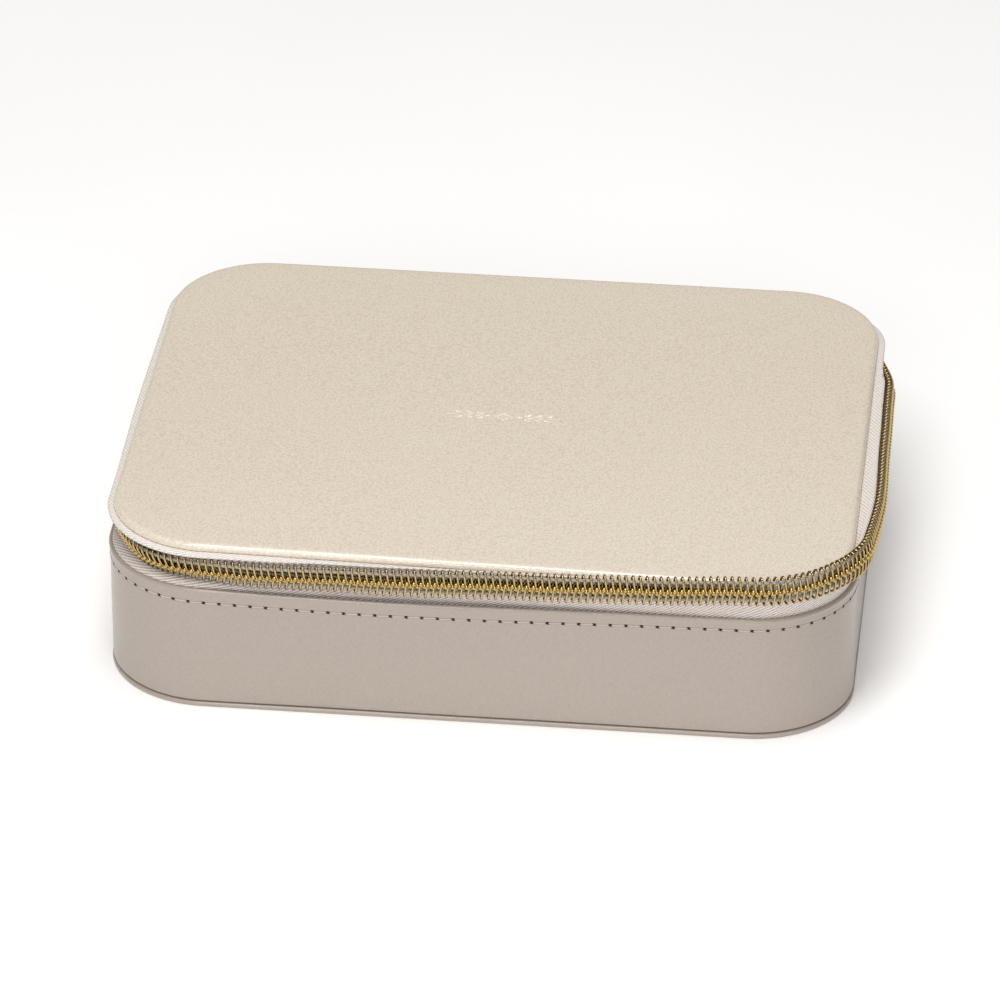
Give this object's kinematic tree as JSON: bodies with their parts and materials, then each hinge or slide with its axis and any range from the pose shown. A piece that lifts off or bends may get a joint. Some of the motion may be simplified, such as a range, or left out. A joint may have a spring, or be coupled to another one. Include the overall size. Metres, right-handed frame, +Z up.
{
  "type": "jewelry box",
  "caption": "Low zipped jewelry box with rounded corners, a flat lid on a soft back spine, a mirror, padded ring rolls and divided compartments.",
  "frame": {"origin": "centre of the flat underside, on the surface that the box stands on", "axes": "+X to the right seen from the front, +Y towards the spine at the back, +Z up"},
  "size_m": [0.2156, 0.1814, 0.0505],
  "materials": {
    "leatherette": "fine grain, pearly",
    "lid_leatherette": "fine grain, pearly",
    "board": "matte",
    "foam": "matte",
    "velvet": "short pile",
    "zip_tape": "twill weave",
    "zip_coil": "metallised, antique brass",
    "thread": "twisted thread",
    "brass": "satin",
    "mirror_glass": "polished"
  },
  "bodies": {
    "case": {"base_board": "board", "base_cover": "leatherette", "divider_cross": "velvet", "divider_long": "velvet", "divider_short": "velvet", "floor_lining": "velvet", "hem_stitching": "thread", "hinge_lining": "velvet", "hinge_spine": "leatherette", "lower_coil_tail_left": "zip_coil", "lower_coil_tail_right": "zip_coil", "lower_zip_coil": "zip_coil", "lower_zip_tape": "zip_tape", "ring_roll_1": "velvet", "ring_roll_2": "velvet", "ring_roll_3": "velvet", "ring_roll_4": "velvet", "ring_roll_5": "velvet", "ring_roll_6": "velvet", "ring_roll_7": "velvet", "wall_cover": "leatherette", "wall_frame": "board", "wall_lining": "velvet", "wall_padding": "foam", "zip_bottom_stop": "brass"},
    "lid": {"lid_board": "board", "lid_cover": "lid_leatherette", "lid_foam": "foam", "lid_lining": "velvet", "lid_pad": "foam", "mirror": "mirror_glass", "mirror_frame": "leatherette", "upper_coil_tail_left": "zip_coil", "upper_coil_tail_right": "zip_coil", "upper_tape_tail_left": "zip_tape", "upper_tape_tail_right": "zip_tape", "upper_zip_coil": "zip_coil", "upper_zip_tape": "zip_tape"},
    "slider": {"zip_slider": "brass"},
    "pull": {"zip_pull": "brass"}
  },
  "joints": [
    {"name": "lid_hinge", "type": "hinge", "parent": "case", "child": "lid", "pos_m": [0, 0.0889, 0.0474], "axis": [-1, 0, 0], "range_deg": [0, 110], "deforming": ["hinge_spine", "hinge_lining", "upper_tape_tail_left", "upper_tape_tail_right", "upper_coil_tail_left", "upper_coil_tail_right", "lower_coil_tail_right"]},
    {"name": "zip_slide", "type": "slide", "parent": "case", "child": "slider", "axis": [-1, 0, 0], "range_m": [0, 0.022], "deforming": ["lower_coil_tail_left"]},
    {"name": "pull_swing", "type": "hinge", "parent": "slider", "child": "pull", "pos_m": [-0.0424, 0.09065, 0.0425], "axis": [0, 1, 0], "range_deg": [-90, 50]}
  ]
}
